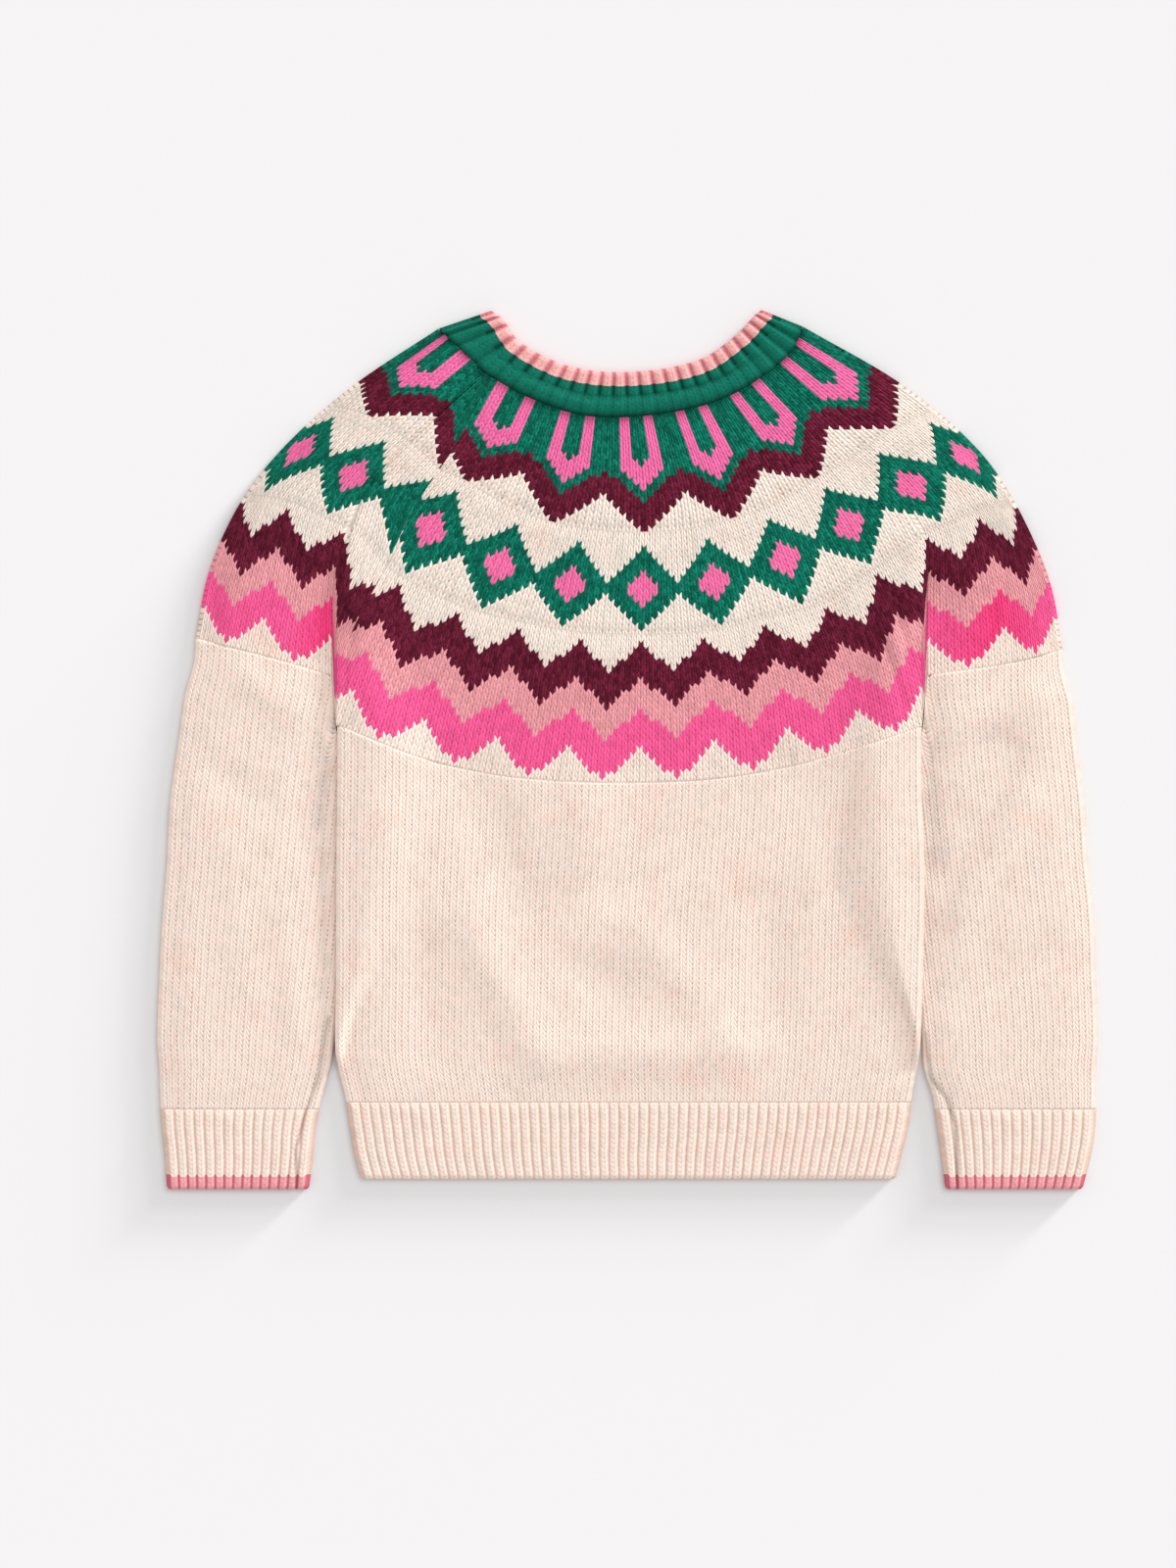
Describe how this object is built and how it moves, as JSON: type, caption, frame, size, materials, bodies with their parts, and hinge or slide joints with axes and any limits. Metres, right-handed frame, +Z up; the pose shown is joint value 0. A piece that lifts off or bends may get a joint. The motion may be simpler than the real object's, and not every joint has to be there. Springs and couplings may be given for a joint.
{
  "type": "fair isle jumper laid flat",
  "caption": "Child's knitted round-yoke jumper laid flat, with a patterned yoke, ribbed neckband, hem and cuffs",
  "frame": {"origin": "on the surface it lies on, under the middle of its bounding box", "axes": "+X to the right seen from above, +Y towards the neck, +Z up out of the surface"},
  "size_m": [0.5596, 0.524, 0.0089],
  "materials": {
    "yoke_knit": "stranded knit, cream with green, maroon and pinks",
    "neck_knit": "green rib with a pink tip",
    "body_knit": "plain knit in a flecked cream yarn",
    "cuff_knit": "cream rib with a pink tip"
  },
  "bodies": {
    "root": {"yoke": "yoke_knit", "neckband": "neck_knit", "back": "body_knit", "front": "body_knit", "hem_rib": "body_knit", "sleeve_left": "body_knit", "sleeve_right": "body_knit", "cuff_left": "cuff_knit", "cuff_right": "cuff_knit"}
  },
  "joints": []
}
